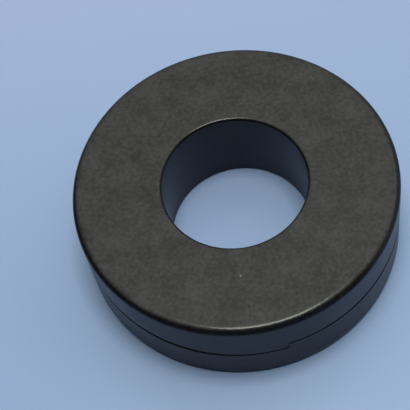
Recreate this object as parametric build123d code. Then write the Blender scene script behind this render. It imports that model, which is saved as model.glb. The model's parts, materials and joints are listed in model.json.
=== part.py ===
from build123d import *
import os
from math import atan, degrees, hypot, isclose, pi, sin

# A nanocrystalline ring core in its closed plastic case, lying flat. Millimetres, +Z up along the bore.
# The origin is on the bore axis, in the plane of the underside.

# Wound core: the three sizes that such a ring is sold by
core_bore = 60.0
core_diameter = 120.0
core_height = 30.0

# Soft rings that bed the brittle core, above and below
cushion_thickness = 1.2

# Case: two moulded half shells
wall = 2.0
floor_thickness = 2.3
core_clearance = 0.2
rim_radius = 2.5
foot_chamfer = 1.8
bore_edge_chamfer = 0.7

# Lap joint: a lip on the base, inside a skirt on the cover
lip_thickness = 0.9
lip_rise = 2.5
lap_clearance = 0.1

# Seam round the outer wall: long shallow ramps, with a step from the end of each to the start of the next
ramp_count = 4
ramp_drop = 3.4
first_step_angle = -84.5
seam_gap = 0.6
step_gap = 0.2
seam_edge = 0.25

# Seam in the bore: a plain hairline at half height
bore_seam_gap = 0.15

# Each cutting tool runs this far past the faces that it cuts
overrun = 1.0

# Radii, from the bore outwards
trough_inner_radius = core_bore / 2 - core_clearance
bore_radius = trough_inner_radius - wall
bore_lip_radius = trough_inner_radius - lip_thickness
trough_outer_radius = core_diameter / 2 + core_clearance
lip_radius = trough_outer_radius + lip_thickness
case_radius = trough_outer_radius + wall

# Heights, from the underside up
core_bottom = floor_thickness + cushion_thickness
core_top = core_bottom + core_height
case_height = core_top + cushion_thickness + floor_thickness
seam_height = case_height / 2
seat_height = seam_height + ramp_drop / 2 + lip_rise

# Each ramp is a flat plane, tilted along the wall so that it drops by ramp_drop over its sector
sector_angle = 360 / ramp_count
ramp_tilt = degrees(atan(ramp_drop / (2 * case_radius * sin(pi / ramp_count))))
step_turn = degrees(step_gap / case_radius)


def band(inner_radius, outer_radius, bottom, top):
    """Half section of a ring: a rectangle beside the bore axis, height along the second axis."""
    width = outer_radius - inner_radius
    height = top - bottom
    return Pos(inner_radius + width / 2, bottom + height / 2) * Rectangle(width, height)


def ring(inner_radius, outer_radius, bottom, top):
    """Plain ring about the bore axis."""
    return revolve(Plane.XZ * band(inner_radius, outer_radius, bottom, top), axis=Axis.Z)


def half_shell(ease_edge, edge_size):
    """Blank for either half of the case: an annular trough with its outer edge eased as asked."""
    outline = band(bore_radius, case_radius, 0, seat_height)
    outline = ease_edge(outline.vertices().group_by(Axis.Y)[0].sort_by(Axis.X)[-1], edge_size)
    outline = chamfer(outline.vertices().group_by(Axis.Y)[0].sort_by(Axis.X)[0], bore_edge_chamfer)
    trough = band(trough_inner_radius, trough_outer_radius, floor_thickness, seat_height + overrun)
    return revolve(Plane.XZ * (outline - trough), axis=Axis.Z)


def saw_ring(inner_radius, outer_radius, side, lift, turn):
    """Ring above or below the ramps: equal sectors, each cut off by its own tilted plane."""
    reach = seat_height - seam_height + overrun
    block = band(inner_radius, outer_radius, seam_height - reach, seam_height + reach)
    block = revolve(Plane.XZ * block, axis=Axis.Z, revolution_arc=sector_angle)
    ramp = Plane.XY.offset(seam_height + lift).rotated((-ramp_tilt, 0, 0))
    tooth = split(Rot(0, 0, -sector_angle / 2) * block, bisect_by=ramp, keep=side)
    first_centre = first_step_angle + turn + sector_angle / 2
    return Part() + [Rot(0, 0, first_centre + sector_angle * place) * tooth for place in range(ramp_count)]


def break_seam_edges(shell):
    """Take the sharp edge off the ramps and steps, where they come out at the case's outer wall."""
    def at_outer_wall(edge):
        ends = (edge @ 0, edge @ 1)
        return all(isclose(hypot(end.X, end.Y), case_radius, rel_tol=1e-6) for end in ends)

    edges = shell.edges().filter_by(at_outer_wall)
    edges = edges.filter_by_position(Axis.Z, seam_height - ramp_drop, seam_height + ramp_drop)
    return chamfer(edges, seam_edge)


def make_case_base():
    """Lower half: its wall stops at the ramps outside, and a thin lip inside stands up to the seat."""
    shell = half_shell(chamfer, foot_chamfer)
    shell -= saw_ring(lip_radius, case_radius + overrun, Keep.TOP, -seam_gap / 2, 0)
    bore_shoulder = seam_height - bore_seam_gap / 2
    shell -= ring(bore_radius - overrun, bore_lip_radius, bore_shoulder, seat_height + overrun)
    return shell


def make_case_cover():
    """Upper half: a blank turned over, its skirts lapping over the base's lips to rest on them."""
    shell = Pos(0, 0, case_height) * Rot(180, 0, 0) * half_shell(fillet, rim_radius)
    wall_end = case_height - seat_height - overrun
    shell -= saw_ring(lip_radius, case_radius + overrun, Keep.BOTTOM, seam_gap / 2, -step_turn)
    shell -= ring(trough_outer_radius - overrun, lip_radius + lap_clearance, wall_end, seat_height)
    bore_skirt_end = seam_height + bore_seam_gap / 2
    shell -= ring(bore_radius - overrun, bore_lip_radius, wall_end, bore_skirt_end)
    shell -= ring(bore_lip_radius - lap_clearance, trough_inner_radius + overrun, wall_end, seat_height)
    return shell


pieces = {
    "case_base": break_seam_edges(make_case_base()),
    "case_cover": break_seam_edges(make_case_cover()),
    "ribbon_core": ring(core_bore / 2, core_diameter / 2, core_bottom, core_top),
    "lower_cushion": ring(core_bore / 2, core_diameter / 2, floor_thickness, core_bottom),
    "upper_cushion": ring(core_bore / 2, core_diameter / 2, core_top, core_top + cushion_thickness),
}

os.makedirs("parts", exist_ok=True)
for name, piece in pieces.items():
    export_step(piece, f"parts/{name}.step")
    print(name, "volume", round(piece.volume), "mm3")
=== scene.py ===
# %% [markdown]
# A wound ring core in its closed black case
#
# The real object is a ring of thin magnetic strip, bedded in foam and shut for good in two moulded half
# shells. The solids of the part give every size and place, so they are loaded first and never moved. They
# could be shown as they are, but their edges are simple and their faces bare. So each half of the case,
# the wound core and the foam gets a finer mesh and a finish of its own.

# %% Load the solids
import json
from math import cos, pi, radians, sin
from random import Random

import bmesh
import bpy
from mathutils import Matrix, Vector


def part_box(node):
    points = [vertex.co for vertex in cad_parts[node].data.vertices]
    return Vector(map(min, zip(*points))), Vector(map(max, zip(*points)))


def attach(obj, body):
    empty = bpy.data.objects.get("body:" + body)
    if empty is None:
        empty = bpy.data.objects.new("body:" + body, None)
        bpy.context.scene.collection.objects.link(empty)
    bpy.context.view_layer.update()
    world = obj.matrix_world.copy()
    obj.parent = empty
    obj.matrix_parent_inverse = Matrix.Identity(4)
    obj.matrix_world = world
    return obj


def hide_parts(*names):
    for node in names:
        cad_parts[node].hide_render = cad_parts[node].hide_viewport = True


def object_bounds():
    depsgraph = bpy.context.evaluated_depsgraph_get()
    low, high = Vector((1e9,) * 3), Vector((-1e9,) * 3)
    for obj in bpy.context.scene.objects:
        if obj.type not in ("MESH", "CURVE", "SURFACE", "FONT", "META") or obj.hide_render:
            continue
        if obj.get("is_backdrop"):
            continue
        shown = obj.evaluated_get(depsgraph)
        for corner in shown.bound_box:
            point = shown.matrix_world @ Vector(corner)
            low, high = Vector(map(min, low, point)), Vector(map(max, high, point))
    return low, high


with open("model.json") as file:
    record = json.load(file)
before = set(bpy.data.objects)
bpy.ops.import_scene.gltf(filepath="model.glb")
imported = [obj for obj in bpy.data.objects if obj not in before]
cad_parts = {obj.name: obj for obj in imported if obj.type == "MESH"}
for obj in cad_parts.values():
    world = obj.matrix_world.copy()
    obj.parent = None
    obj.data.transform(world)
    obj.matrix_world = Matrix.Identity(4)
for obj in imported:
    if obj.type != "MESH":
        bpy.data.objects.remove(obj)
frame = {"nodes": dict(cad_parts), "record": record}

cad_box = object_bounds()
print("solids:", sorted(frame["nodes"]))

# %% [markdown]
# Sizes
#
# Lengths are metres here, and a name for the millimetre keeps the small ones readable. What the boxes of
# the solids and the record's bore can tell is read from them, so that a change of size carries over. The
# thin lip of the lap joint and its clearances can't be read from a box, so they are written down.

# %% Read the main sizes
mm = 0.001
core_low, core_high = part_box("ribbon_core")
bore = next(mount for mount in frame["record"]["mounts"] if mount["name"] == "bore")

bore_radius = bore["dims"]["r_mm"] * mm
case_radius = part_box("case_base")[1].x
case_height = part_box("case_cover")[1].z
seat_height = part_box("case_base")[1].z
floor_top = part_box("lower_cushion")[0].z
roof_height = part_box("upper_cushion")[1].z
seam_height = case_height / 2

core_clearance = 0.2 * mm
lip_thickness = 0.9 * mm
lap_clearance = 0.1 * mm
trough_outer = core_high.x + core_clearance
wall = case_radius - trough_outer
trough_inner = bore_radius + wall
lip_radius = trough_outer + lip_thickness
bore_lip_radius = trough_inner - lip_thickness
print(f"case {2 * case_radius / mm:.1f} x {case_height / mm:.1f} mm, bore {2 * bore_radius / mm:.1f} mm")

# %% [markdown]
# Camera
#
# The photograph looks down on the ring from in front, at about sixty degrees, with the camera turned a
# little about its own line of sight. A camera can be set by eye, but here the focal length and the place
# of the ring in the view came from fitting the ring's circles, because a circle's picture fixes the angle
# and the distance together.

# %% Place the camera
picture_width = 410
focal_pixels = 1246.4
elevation = radians(60.05)
camera_roll = radians(-12.83)
underside_right = 15.07 * mm
underside_below = 9.22 * mm
underside_away = 501.6 * mm
sensor_width = 36
nearest_seen = 10 * mm

camera = bpy.data.objects.new("camera", bpy.data.cameras.new("camera"))
bpy.context.collection.objects.link(camera)
camera.data.sensor_width = sensor_width
camera.data.lens = sensor_width * focal_pixels / picture_width
camera.data.clip_start = nearest_seen
turn = Matrix.Rotation(pi / 2 - elevation, 3, "X") @ Matrix.Rotation(camera_roll, 3, "Z")
camera.rotation_euler = turn.to_euler()
camera.location = -(turn @ Vector((underside_right, -underside_below, -underside_away)))
bpy.context.scene.camera = camera
print(f"camera at {[round(value / mm) for value in camera.location]} mm, lens {camera.data.lens:.1f} mm")

# %% [markdown]
# Small helpers for node trees
#
# Geometry and finishes are both made of nodes, which take the same three moves: add a node, feed its
# inputs with a value or with another node's output, and do a sum. Three short functions keep the trees
# below readable.

# %% Node helpers
def feed(tree, socket, source):
    """Link another node's output to a socket, or set the socket's own value."""
    if isinstance(source, bpy.types.NodeSocket):
        tree.links.new(source, socket)
    else:
        socket.default_value = source


def add(tree, kind, inputs=None, **settings):
    """Add a node with its settings, and feed its inputs by name or place."""
    node = tree.nodes.new(kind)
    for name, value in settings.items():
        setattr(node, name, value)
    for name, source in (inputs or {}).items():
        feed(tree, node.inputs[name], source)
    return node


def maths(tree, operation, *operands):
    """One sum, as a node's output."""
    return add(tree, "ShaderNodeMath", dict(enumerate(operands)), operation=operation).outputs[0]


print("node helpers:", ", ".join(helper.__name__ for helper in (feed, add, maths)))

# %% [markdown]
# Black moulded plastic
#
# The case is one black plastic that doesn't look the same all over. The grain of the mould makes its flat
# faces dull and a little grey, and their grey is raised further as painted sheen of the ceiling they face.
# Its walls are smoother and blue-black, with a painted violet tint of what they mirror, and its rounded
# edges are rubbed smoother still, so they stay black apart from the thin line of a lamp. Three materials
# would meet at hard borders. One material that blends the three by how far the surface faces up or down has
# none, and it fits any piece of the case.

# %% Plastic: faces, walls and edges
def new_finish(name):
    """An empty material, with its tree, its shader and the place on the piece."""
    finish = bpy.data.materials.new(name)
    finish.use_nodes = True
    tree = finish.node_tree
    shader = tree.nodes["Principled BSDF"]
    place = add(tree, "ShaderNodeTexCoord").outputs["Object"]
    return finish, tree, shader, place


def spread(tree, value, low, high, new_low, new_high):
    """Carry a range of values over to another range, and stop at its ends."""
    places = dict(enumerate((value, low, high, new_low, new_high)))
    return add(tree, "ShaderNodeMapRange", places).outputs[0]


face_start, face_full = 0.985, 0.998
wall_full, wall_end = 0.1, 0.4

case_plastic, tree, shader, place = new_finish("case_plastic")
normal = add(tree, "ShaderNodeTexCoord").outputs["Normal"]
facing_up = maths(tree, "ABSOLUTE", add(tree, "ShaderNodeSeparateXYZ", {0: normal}).outputs["Z"])
on_face = spread(tree, facing_up, face_start, face_full, 0, 1)
on_wall = spread(tree, facing_up, wall_full, wall_end, 1, 0)
on_edge = maths(tree, "SUBTRACT", 1, maths(tree, "MAXIMUM", on_face, on_wall))
print(f"faces start where the normal's height passes {face_start}, and walls end at {wall_end}")

# %% [markdown]
# Colour of the plastic
#
# A moulded face is never quite even: a fine mottle and broad patches darken it. A blend between two greys
# could show that, but scaling one colour keeps its hue in the dark parts too. The grey of the faces, with
# its painted sheen, is carried a little way over the rim, which narrows the dark band there.

# %% Plastic: the three blacks and their mottle
def noise(tree, place, size, detail):
    """Noise with features of about one size, in metres."""
    inputs = {"Vector": place, "Scale": 1 / size, "Detail": detail}
    return add(tree, "ShaderNodeTexNoise", inputs).outputs["Fac"]


def blend(tree, share, first, second):
    """Mix two colours: all of the first at a share of 0, and all of the second at 1."""
    colours = {"Factor": share, "A": first, "B": second}
    return add(tree, "ShaderNodeMix", colours, data_type="RGBA").outputs["Result"]


# The faces' grey is partly their dull grain and partly painted sheen of the ceiling they face; the violet
# in the walls' black is a painted tint of what they mirror.
face_grey_and_painted_sheen = (0.056, 0.056, 0.062, 1)
wall_black_and_painted_tint = (0.012, 0.008, 0.026, 1)
edge_black = (0.011, 0.011, 0.015, 1)
# The faces' grey, with its painted sheen, reaches this far down over the rim.
painted_sheen_start, painted_sheen_full = 0.88, 0.975
mottle_size = 1.3 * mm
patch_size = 9 * mm
mottle_share = 0.6
blotch_low, blotch_high = 0.36, 0.64
darkest_shade = 0.45

mottle = noise(tree, place, mottle_size, detail=3)
patch = noise(tree, place, patch_size, detail=3)
fine = maths(tree, "MULTIPLY", mottle, mottle_share)
blotch = maths(tree, "ADD", fine, maths(tree, "MULTIPLY", patch, 1 - mottle_share))
# Blending by how far the surface faces up gives the faces their painted sheen and the walls their painted
# violet tint.
side = blend(tree, on_wall, edge_black, wall_black_and_painted_tint)
blacks_and_painted_sheen = blend(tree, spread(tree, facing_up, painted_sheen_start, painted_sheen_full, 0, 1), side, face_grey_and_painted_sheen)
shade = spread(tree, blotch, blotch_low, blotch_high, darkest_shade, 1)
tone = add(tree, "ShaderNodeVectorMath", {0: blacks_and_painted_sheen, "Scale": shade}, operation="SCALE").outputs["Vector"]
print(f"plastic mottle {mottle_size / mm:.1f} mm, patches {patch_size / mm:.0f} mm")

# %% [markdown]
# Marks on the plastic
#
# Edges that are rubbed get small pale nicks, and one pale speck lies on the top face. Marks could be
# modelled, but they have no depth that shows, so they are colour: nicks are the peaks of a noise, kept to
# the edges, and the speck is what lies near one point.

# %% Plastic: nicks and the speck
nick_grey = (0.03, 0.03, 0.03, 1)
nick_size = 1.6 * mm
nick_start, nick_full = 0.66, 0.74
speck_grey = (0.20, 0.20, 0.20, 1)
speck_place = (-5.8 * mm, -39.2 * mm, case_height)
speck_core, speck_radius = 0.25 * mm, 0.45 * mm

peaks = spread(tree, noise(tree, place, nick_size, detail=4), nick_start, nick_full, 0, 1)
nick = maths(tree, "MULTIPLY", on_edge, peaks)
worn_with_painted_sheen = blend(tree, nick, tone, nick_grey)
from_speck = add(tree, "ShaderNodeVectorMath", {0: place, 1: speck_place}, operation="DISTANCE")
speck = spread(tree, from_speck.outputs["Value"], speck_core, speck_radius, 1, 0)
feed(tree, shader.inputs["Base Color"], blend(tree, speck, worn_with_painted_sheen, speck_grey))
print(f"nicks {nick_size / mm:.1f} mm, speck {2 * speck_radius / mm:.1f} mm wide")

# %% [markdown]
# Gloss and grain of the plastic
#
# Black plastic shows little more than what it mirrors, so its gloss matters more than its colour. The
# roughness is high on the grained faces and low on the edges, with broad smudges from handling. The grain
# is far too fine to model, so a bump node tilts the light instead, at full strength only on the faces. A
# low index of refraction keeps the mirror weak.

# %% Plastic: roughness, grain and mirror
face_roughness = 0.50
wall_roughness = 0.36
edge_roughness = 0.16
nick_roughness = 0.08
smudge_size = 22 * mm
smudge_roughness = 0.03
noise_low, noise_high = 0.3, 0.7
grain_size = 0.7 * mm
grain_share = 0.4
grain_depth = 0.06 * mm
side_grain, face_grain = 0.2, 1.0
weak_mirror = 1.3

smudge = noise(tree, place, smudge_size, detail=2)
gloss = spread(tree, on_face, 0, 1, edge_roughness, face_roughness)
gloss = maths(tree, "ADD", gloss, spread(tree, on_wall, 0, 1, 0, wall_roughness - edge_roughness))
smeared = spread(tree, smudge, noise_low, noise_high, -smudge_roughness, smudge_roughness)
gloss = maths(tree, "ADD", gloss, smeared)
gloss = maths(tree, "ADD", gloss, maths(tree, "MULTIPLY", nick, nick_roughness))
feed(tree, shader.inputs["Roughness"], gloss)
grain = noise(tree, place, grain_size, detail=3)
relief = maths(tree, "ADD", maths(tree, "MULTIPLY", grain, grain_share), mottle)
strength = spread(tree, on_face, 0, 1, side_grain, face_grain)
bump = add(tree, "ShaderNodeBump", {"Height": relief, "Strength": strength, "Distance": grain_depth})
feed(tree, shader.inputs["Normal"], bump.outputs["Normal"])
shader.inputs["IOR"].default_value = weak_mirror
print("finish made:", case_plastic.name, "with", len(tree.nodes), "nodes")

# %% [markdown]
# An outline to turn
#
# Both half shells, the wound core and the foam are turned shapes: one outline, carried round the axis of
# the bore. The outline could be drawn point by point, but its corners are all square ones that are eased
# by a quarter of an ellipse, so a corner needs only its place, how far it is eased each way, and whether
# it follows the seam's ramps.

# %% Outline helper
edge_steps = 10
edge_guard = 0.12 * mm


def eased_outline(corners):
    """Points (radius, height, ramp share) of a closed outline, its eased corners quarters of an ellipse."""
    points = []
    for index, (radius, height, across, along, share) in enumerate(corners):
        corner = Vector((radius, height))
        before = Vector(corners[index - 1][:2]) - corner
        after = Vector(corners[(index + 1) % len(corners)][:2]) - corner
        ease_in, ease_out = (across, along) if abs(before.x) > abs(before.y) else (along, across)
        before.normalize()
        after.normalize()
        if across == 0:
            points.append((*corner, share))
            continue
        points.append((*(corner + before * (ease_in + edge_guard)), share))
        for step in range(edge_steps + 1):
            angle = pi / 2 * step / edge_steps
            bend = before * ease_in * (1 - sin(angle)) + after * ease_out * (1 - cos(angle))
            points.append((*(corner + bend), share))
        points.append((*(corner + after * (ease_out + edge_guard)), share))
    return points


print("an eased corner has", edge_steps + 3, "points")

# %% [markdown]
# A tree that turns the outline, with ramps
#
# On the real case the edge where the halves meet isn't level: it runs down in long ramps, with a step up
# to the next, and each ramp bows a little, as thin mouldings do. A cutting tool could make that, but a
# rule can too. Geometry Nodes carries the outline round a circle, and then every point gets its place
# from its radius, its height and its column. Points that belong to the seam are lifted by a ramp, which
# starts again at each step, and by the bow. The last column of a ramp stands close to the first of the
# next, so the step is upright.

# %% Tree: inputs and columns
ring_tree = bpy.data.node_groups.new("ramped_ring", "GeometryNodeTree")
ring_tree.interface.new_socket("Outline", in_out="INPUT", socket_type="NodeSocketGeometry")
ring_tree.interface.new_socket("Ring", in_out="OUTPUT", socket_type="NodeSocketGeometry")
ring_inputs = {}
for name, kind in (
    ("Ramps", "Int"), ("Columns per Ramp", "Int"), ("Drop", "Float"), ("Bow", "Float"),
    ("First Step", "Float"), ("Step Width", "Float"), ("Wall Radius", "Float"), ("Finish", "Material"),
):
    socket = ring_tree.interface.new_socket(name, in_out="INPUT", socket_type=f"NodeSocket{kind}")
    ring_inputs[name] = socket.identifier


def ring_maths(operation, *operands):
    """One sum inside the ring tree."""
    return maths(ring_tree, operation, *operands)


given = add(ring_tree, "NodeGroupInput").outputs
column_total = ring_maths("MULTIPLY", given["Ramps"], given["Columns per Ramp"])
circle = add(ring_tree, "GeometryNodeCurvePrimitiveCircle", {"Resolution": column_total})
path = add(ring_tree, "GeometryNodeCaptureAttribute", {"Geometry": circle.outputs["Curve"]})
path.capture_items.new("INT", "Column")
feed(ring_tree, path.inputs["Column"], add(ring_tree, "GeometryNodeSplineParameter").outputs["Index"])
print("ring tree inputs:", ", ".join(ring_inputs))

# %% Tree: sweep the outline, keeping each point's radius, height and ramp share
section = add(ring_tree, "GeometryNodeMeshToCurve", {"Mesh": given["Outline"]})
kept = add(ring_tree, "GeometryNodeCaptureAttribute", {"Geometry": section.outputs["Curve"]})
kept.capture_items.new("VECTOR", "Spot")
feed(ring_tree, kept.inputs["Spot"], add(ring_tree, "GeometryNodeInputPosition").outputs[0])
curves = {"Curve": path.outputs[0], "Profile Curve": kept.outputs[0]}
swept = add(ring_tree, "GeometryNodeCurveToMesh", curves)
spot = add(ring_tree, "ShaderNodeSeparateXYZ", {0: kept.outputs["Spot"]}).outputs
named = add(ring_tree, "GeometryNodeInputNamedAttribute", {"Name": "ramp_share"}, data_type="FLOAT")
share = named.outputs["Attribute"]
print("ring tree sweeps the outline, with", len(ring_tree.nodes), "nodes so far")

# %% Tree: how far along its ramp each column is
half_column = 0.5
column = path.outputs["Column"]
per_ramp = given["Columns per Ramp"]
ramp_number = ring_maths("FLOOR", ring_maths("DIVIDE", ring_maths("ADD", column, half_column), per_ramp))
in_ramp = ring_maths("SUBTRACT", column, ring_maths("MULTIPLY", ramp_number, per_ramp))
sector = ring_maths("DIVIDE", 2 * pi, given["Ramps"])
step_turn = ring_maths("DIVIDE", given["Step Width"], given["Wall Radius"])
ramp_turn = ring_maths("SUBTRACT", sector, step_turn)
along = ring_maths("DIVIDE", in_ramp, ring_maths("SUBTRACT", per_ramp, 1))
ahead = ring_maths("MULTIPLY", along, ramp_turn)
start = ring_maths("ADD", given["First Step"], ring_maths("MULTIPLY", ramp_number, sector))
angle = ring_maths("ADD", start, ahead)
print("ring tree places its columns, with", len(ring_tree.nodes), "nodes so far")

# %% Tree: the ramp's slant and bow
half_sector = ring_maths("MULTIPLY", sector, 0.5)
from_middle = ring_maths("SINE", ring_maths("SUBTRACT", half_sector, ahead))
from_middle = ring_maths("DIVIDE", from_middle, ring_maths("SINE", half_sector))
steepness = ring_maths("DIVIDE", ring_maths("MULTIPLY", given["Drop"], 0.5), given["Wall Radius"])
slanted = ring_maths("MULTIPLY", ring_maths("MULTIPLY", steepness, from_middle), spot["X"])
end_share = ring_maths("POWER", ring_maths("ABSOLUTE", from_middle), 2)
middle_share = ring_maths("SUBTRACT", 1, end_share)
bowed = ring_maths("MULTIPLY", given["Bow"], ring_maths("POWER", middle_share, 2))
lift = ring_maths("ADD", slanted, bowed)
print("ring tree lifts the seam, with", len(ring_tree.nodes), "nodes so far")

# %% Tree: every point's place, sharp creases, and the finish
crease_angle = radians(40)
height = ring_maths("ADD", spot["Z"], ring_maths("MULTIPLY", lift, share))
across = ring_maths("MULTIPLY", spot["X"], ring_maths("COSINE", angle))
deep = ring_maths("MULTIPLY", spot["X"], ring_maths("SINE", angle))
position = add(ring_tree, "ShaderNodeCombineXYZ", {"X": across, "Y": deep, "Z": height}).outputs[0]
moved = {"Geometry": swept.outputs["Mesh"], "Position": position}
placed = add(ring_tree, "GeometryNodeSetPosition", moved)
edge_angle = add(ring_tree, "GeometryNodeInputMeshEdgeAngle").outputs["Unsigned Angle"]
crease = ring_maths("GREATER_THAN", edge_angle, crease_angle)
creased = {0: placed.outputs[0], "Selection": crease, "Shade Smooth": False}
smooth = add(ring_tree, "GeometryNodeSetShadeSmooth", creased, domain="EDGE")
real = add(ring_tree, "GeometryNodeRealizeInstances", {0: smooth.outputs[0]})
finished = add(ring_tree, "GeometryNodeSetMaterial", {0: real.outputs[0], "Material": given["Finish"]})
add(ring_tree, "NodeGroupOutput", {0: finished.outputs[0]})
print("ring tree has", len(ring_tree.nodes), "nodes")

# %% [markdown]
# From outline to piece
#
# The tree works on a bare outline of edges. Its result is turned into a plain mesh, its faces are made to
# point outwards, and only then does the new piece stand for its solid. A live modifier could stay on a
# piece, but a plain mesh's volume and open edges can be measured here.

# %% Turn one outline into a piece
def turn_piece(name, corners, node, slot, **sizes):
    """Turn an outline into a plain mesh that stands for one solid."""
    points = eased_outline(corners)
    outline = bpy.data.meshes.new(name)
    links = [(index, (index + 1) % len(points)) for index in range(len(points))]
    outline.from_pydata([(radius, 0, height) for radius, height, _ in points], links, [])
    shares = outline.attributes.new("ramp_share", "FLOAT", "POINT")
    shares.data.foreach_set("value", [point[2] for point in points])
    piece = bpy.data.objects.new(name, outline)
    bpy.context.collection.objects.link(piece)
    turning = piece.modifiers.new("Turning", "NODES")
    turning.node_group = ring_tree
    for key, identifier in ring_inputs.items():
        turning[identifier] = sizes[key]

    depsgraph = bpy.context.evaluated_depsgraph_get()
    solid = bpy.data.meshes.new_from_object(piece.evaluated_get(depsgraph), depsgraph=depsgraph)
    piece.modifiers.clear()
    shape = bmesh.new()
    shape.from_mesh(solid)
    bmesh.ops.recalc_face_normals(shape, faces=shape.faces)
    shape.to_mesh(solid)
    volume = shape.calc_volume()
    open_edges = sum(not edge.is_manifold for edge in shape.edges)
    shape.free()
    piece.data = solid

    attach(piece, "root")
    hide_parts(node)
    print(f"{name}: {len(solid.polygons)} faces, {volume / mm ** 3:.0f} mm3, {open_edges} open edges")
    return piece


# %% [markdown]
# Lower half of the case
#
# The base is a trough with a floor and two walls. Its outer wall ends at the ramps, and a thin lip behind
# them stands up into the cover, so dirt can't reach the core straight through the seam. In the bore the
# seam is a level hairline. It could be cut from a block with booleans, but a turned outline gives every
# edge its own rounding.

# %% Base
foot_width = 3.4 * mm
foot_depth = 2.7 * mm
bore_edge_width = 1.4 * mm
bore_edge_depth = 1.0 * mm
bore_seam_ease = 0.02 * mm
seam_ease = 0.25 * mm
lip_ease = 0.15 * mm
trough_ease = 0.5 * mm
seam_gap = 0.5 * mm
bore_seam_gap = 0.05 * mm

seam_low = seam_height - seam_gap / 2
bore_seam_low = seam_height - bore_seam_gap / 2
base_corners = [
    (bore_radius, 0, bore_edge_width, bore_edge_depth, 0),
    (case_radius, 0, foot_width, foot_depth, 0),
    (case_radius, seam_low, seam_ease, seam_ease, 1),
    (lip_radius, seam_low, 0, 0, 1),
    (lip_radius, seat_height, lip_ease, lip_ease, 0),
    (trough_outer, seat_height, lip_ease, lip_ease, 0),
    (trough_outer, floor_top, trough_ease, trough_ease, 0),
    (trough_inner, floor_top, trough_ease, trough_ease, 0),
    (trough_inner, seat_height, lip_ease, lip_ease, 0),
    (bore_lip_radius, seat_height, lip_ease, lip_ease, 0),
    (bore_lip_radius, bore_seam_low, 0, 0, 0),
    (bore_radius, bore_seam_low, bore_seam_ease, bore_seam_ease, 0),
]

ramp_drop = 3.4 * mm
seam_bow = 0.6 * mm
first_step = radians(-84.5)
seam_ramps = {
    "Ramps": 4,
    "Columns per Ramp": 72,
    "Drop": ramp_drop,
    "Bow": -seam_bow,
    "First Step": first_step,
    "Step Width": 0.05 * mm,
    "Wall Radius": case_radius,
    "Finish": case_plastic,
}
turn_piece("core_case_base", base_corners, "case_base", "case_plastic", **seam_ramps)

# %% [markdown]
# Upper half of the case
#
# The cover is the same trough turned over. Its skirts hang outside the base's lips and rest on them. Its
# ramps bow up where the base's bow down, so the seam is nearly closed at the steps and widest in the
# middle of each ramp, where it shows as a dark line. A painted line could show that too, but a real gap
# stays dark from every side. The cover is turned back by a hair, which keeps the upright steps of the two
# halves from touching.

# %% Cover
rim_width = 3.1 * mm
rim_depth = 2.2 * mm
step_gap = 0.2 * mm
seam_high = seam_height + seam_gap / 2
bore_seam_high = seam_height + bore_seam_gap / 2
skirt_radius = lip_radius + lap_clearance
bore_skirt_radius = bore_lip_radius - lap_clearance
cover_corners = [
    (bore_radius, case_height, bore_edge_width, bore_edge_depth, 0),
    (bore_radius, bore_seam_high, bore_seam_ease, bore_seam_ease, 0),
    (bore_skirt_radius, bore_seam_high, lip_ease, lip_ease, 0),
    (bore_skirt_radius, seat_height, 0, 0, 0),
    (trough_inner, seat_height, 0, 0, 0),
    (trough_inner, roof_height, trough_ease, trough_ease, 0),
    (trough_outer, roof_height, trough_ease, trough_ease, 0),
    (trough_outer, seat_height, 0, 0, 0),
    (skirt_radius, seat_height, 0, 0, 0),
    (skirt_radius, seam_high, lip_ease, lip_ease, 1),
    (case_radius, seam_high, seam_ease, seam_ease, 1),
    (case_radius, case_height, rim_width, rim_depth, 0),
]
cover_ramps = seam_ramps | {"Bow": seam_bow, "First Step": first_step - step_gap / case_radius}
turn_piece("core_case_cover", cover_corners, "case_cover", "case_plastic", **cover_ramps)

# %% [markdown]
# The wound core
#
# Inside lies the working part: a thousand turns or more of strip, thinner than paper, seen edge on above
# and below. Single turns are far too fine to model, but they never lie quite level, so the end faces get
# low ridges in groups of turns, at random heights from a fixed seed. Finer rings in the finish stand for
# the turns between them.

# %% Strip finish
dark_strip = (0.30, 0.31, 0.33, 1)
bright_strip = (0.52, 0.53, 0.55, 1)
smooth_strip, rough_strip = 0.32, 0.48
turn_size = 0.12 * mm
turn_depth = 0.05 * mm
turn_relief = 0.5

wound_strip, tree, shader, place = new_finish("wound_strip")
level = add(tree, "ShaderNodeVectorMath", {0: place, 1: (1, 1, 0)}, operation="MULTIPLY")
radius = add(tree, "ShaderNodeVectorMath", {0: level.outputs["Vector"]}, operation="LENGTH")
rings = {"W": radius.outputs["Value"], "Scale": 1 / turn_size, "Detail": 2}
turns = add(tree, "ShaderNodeTexNoise", rings, noise_dimensions="1D").outputs["Fac"]
feed(tree, shader.inputs["Base Color"], blend(tree, turns, dark_strip, bright_strip))
uneven = spread(tree, turns, noise_low, noise_high, smooth_strip, rough_strip)
feed(tree, shader.inputs["Roughness"], uneven)
bump = add(tree, "ShaderNodeBump", {"Height": turns, "Strength": turn_relief, "Distance": turn_depth})
feed(tree, shader.inputs["Normal"], bump.outputs["Normal"])
shader.inputs["Metallic"].default_value = 1
print("finish made:", wound_strip.name, "with", len(tree.nodes), "nodes")

# %% Core
core_bore_radius = trough_inner + core_clearance
group_total = 48
unevenness = 0.08 * mm
chance = Random(7)


def uneven_face(start, end, face, inwards):
    """Corners of an end face of the roll, where each group of turns stands in by chance."""
    corners = []
    for group in range(group_total):
        height = face + inwards * unevenness * chance.random()
        for edge in (group, group + 1):
            corners.append((start + (end - start) * edge / group_total, height, 0, 0, 0))
    return corners


core_corners = uneven_face(core_bore_radius, core_high.x, core_low.z, 1)
core_corners += uneven_face(core_high.x, core_bore_radius, core_high.z, -1)
level_ring = seam_ramps | {"Columns per Ramp": 40, "Drop": 0.0, "Bow": 0.0}
core_ring = level_ring | {"Finish": wound_strip}
turn_piece("wound_core", core_corners, "ribbon_core", "wound_strip", **core_ring)

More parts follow.
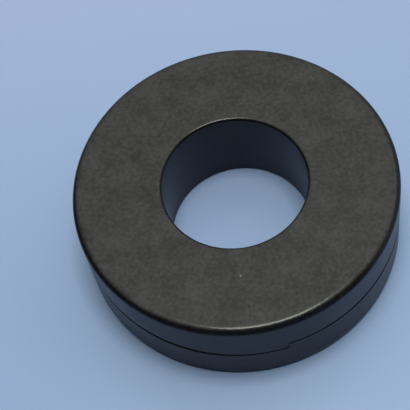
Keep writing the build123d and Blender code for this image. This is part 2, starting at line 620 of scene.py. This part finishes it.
# %% [markdown]
# Foam bedding
#
# The strip is brittle, and it loses its magnetic quality under pressure, so a soft ring lies under and
# over it. Cloth simulation can swell a cushion, but this foam is cut from sheet and pressed flat between
# hard faces, so only its edges are free: they are rounded a little, and stay square enough to show the
# cut. Its finish is pale, dull and full of small cells.

# %% Foam finish
cell_edge = (0.55, 0.55, 0.52, 1)
cell_middle = (0.74, 0.74, 0.71, 1)
cell_size = 0.5 * mm
cell_depth = 0.1 * mm
cell_relief = 0.4
foam_roughness = 0.9

soft_bedding, tree, shader, place = new_finish("soft_bedding")
cells = add(tree, "ShaderNodeTexVoronoi", {"Vector": place, "Scale": 1 / cell_size}).outputs["Distance"]
feed(tree, shader.inputs["Base Color"], blend(tree, cells, cell_edge, cell_middle))
bump = add(tree, "ShaderNodeBump", {"Height": cells, "Strength": cell_relief, "Distance": cell_depth})
feed(tree, shader.inputs["Normal"], bump.outputs["Normal"])
shader.inputs["Roughness"].default_value = foam_roughness
print("finish made:", soft_bedding.name, "with", len(tree.nodes), "nodes")

# %% Foam rings
foam_ease = 0.4 * mm
foam_ring = level_ring | {"Finish": soft_bedding}
for node in ("lower_cushion", "upper_cushion"):
    low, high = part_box(node)
    foam_corners = [
        (radius, height, foam_ease, foam_ease, 0)
        for radius, height in (
            (core_bore_radius, low.z), (high.x, low.z), (high.x, high.z), (core_bore_radius, high.z),
        )
    ]
    bedding = turn_piece(f"foam_{node}", foam_corners, node, "soft_bedding", **foam_ring)

# %% [markdown]
# Table
#
# The ring lies on a plain pale blue table, and the black case shows it in its walls. The table's far side
# is a little paler, which is painted light, brighter away from the camera. A flat colour would do for the
# floor alone, but the walls mirror it, so its tone and its gloss vary a little too.

# %% Table
table_half = 8.0
table_gap = 0.05 * mm
near_blue = (0.308, 0.442, 0.775, 1)
# The paler blue of the far side is painted light, not the table's own colour.
far_blue_painted_light = (0.400, 0.504, 0.837, 1)
painted_light_near, painted_light_far = -20 * mm, 140 * mm
table_patch = 30 * mm
smooth_table, rough_table = 0.38, 0.44

table_shape = bpy.data.meshes.new("table")
table_corners = [(x, y, -table_gap) for x, y in ((-1, -1), (1, -1), (1, 1), (-1, 1))]
table_shape.from_pydata(table_corners, [], [(0, 1, 2, 3)])
table_shape.transform(Matrix.Diagonal((table_half, table_half, 1, 1)))
table = bpy.data.objects.new("table", table_shape)
bpy.context.collection.objects.link(table)
table_top, tree, shader, place = new_finish("table_top")
depth = add(tree, "ShaderNodeSeparateXYZ", {0: place}).outputs["Y"]
# The blue grows paler away from the camera: painted light.
blue_and_painted_light = blend(tree, spread(tree, depth, painted_light_near, painted_light_far, 0, 1), near_blue, far_blue_painted_light)
feed(tree, shader.inputs["Base Color"], blue_and_painted_light)
rubbed = noise(tree, place, table_patch, detail=2)
gloss = spread(tree, rubbed, noise_low, noise_high, smooth_table, rough_table)
feed(tree, shader.inputs["Roughness"], gloss)
table_shape.materials.append(table_top)
table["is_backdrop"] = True
print(f"table {2 * table_half:.0f} m wide, {table_gap / mm:.2f} mm under the ring")

# %% [markdown]
# Light and air
#
# Even light would be simpler, but black plastic shows only what it mirrors, so the light is a room. A
# wide dim ceiling greys the top face, a brighter panel hangs behind, and a lamp overhead draws the thin
# bright line along the front edge. The air glows behind and to the right, and stays dim on the camera's
# side, so the rounded edge below that line stays dark.

# %% Lamps
lamp_white = (0.97, 1.0, 0.88)


def ceiling_lamp(name, height, low, high, brightness):
    """A level soft panel between two corners, which shines down with one brightness all over."""
    width, depth = (end - start for start, end in zip(low, high))
    lamp = bpy.data.objects.new(name, bpy.data.lights.new(name, "AREA"))
    bpy.context.collection.objects.link(lamp)
    lamp.data.shape = "RECTANGLE"
    lamp.data.size = width
    lamp.data.size_y = depth
    lamp.data.energy = pi * width * depth * brightness
    lamp.data.color = lamp_white
    lamp.location = (low[0] + width / 2, low[1] + depth / 2, height)
    print(f"{name}: {width:.2f} x {depth:.2f} m at {height} m, {lamp.data.energy:.1f} W")


ceiling_lamp("ceiling", height=2.0, low=(-1.6, -0.35), high=(2.6, 0.75), brightness=0.45)
ceiling_lamp("panel_behind", height=2.0, low=(-0.5, 0.75), high=(2.0, 1.42), brightness=0.9)
ceiling_lamp("overhead_lamp", height=1.9, low=(-0.27, -0.32), high=(0.42, 0.27), brightness=15)

# %% Air
air_white = (0.97, 1.0, 0.90, 1)
bright_side = (0.7, 1, 0)
dim_glow, bright_glow = 0.05, 0.55
glow_start, glow_full = 0.0, 0.5

air = bpy.data.worlds.new("air")
air.use_nodes = True
bpy.context.scene.world = air
tree = air.node_tree
towards = add(tree, "ShaderNodeTexCoord").outputs["Generated"]
brightest = add(tree, "ShaderNodeVectorMath", {0: towards, 1: bright_side}, operation="DOT_PRODUCT")
glow = spread(tree, brightest.outputs["Value"], glow_start, glow_full, dim_glow, bright_glow)
feed(tree, tree.nodes["Background"].inputs["Strength"], glow)
tree.nodes["Background"].inputs["Color"].default_value = air_white
bpy.context.scene.view_settings.view_transform = "Standard"
print(f"air glows from {dim_glow} to {bright_glow}")

# %% [markdown]
# The two boxes
#
# A finer mesh must not change how big the object is, so the box of the solids and the box of the finished
# pieces are written side by side. They could be compared by eye in the viewport, but numbers show a
# hundredth of a millimetre.

# %% Write the two boxes, and finish
look_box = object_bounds()
boxes = {"cad": [list(corner) for corner in cad_box], "visual": [list(corner) for corner in look_box]}
for name, box in boxes.items():
    print(name, "box in mm:", [[round(value / mm, 2) for value in corner] for corner in box])
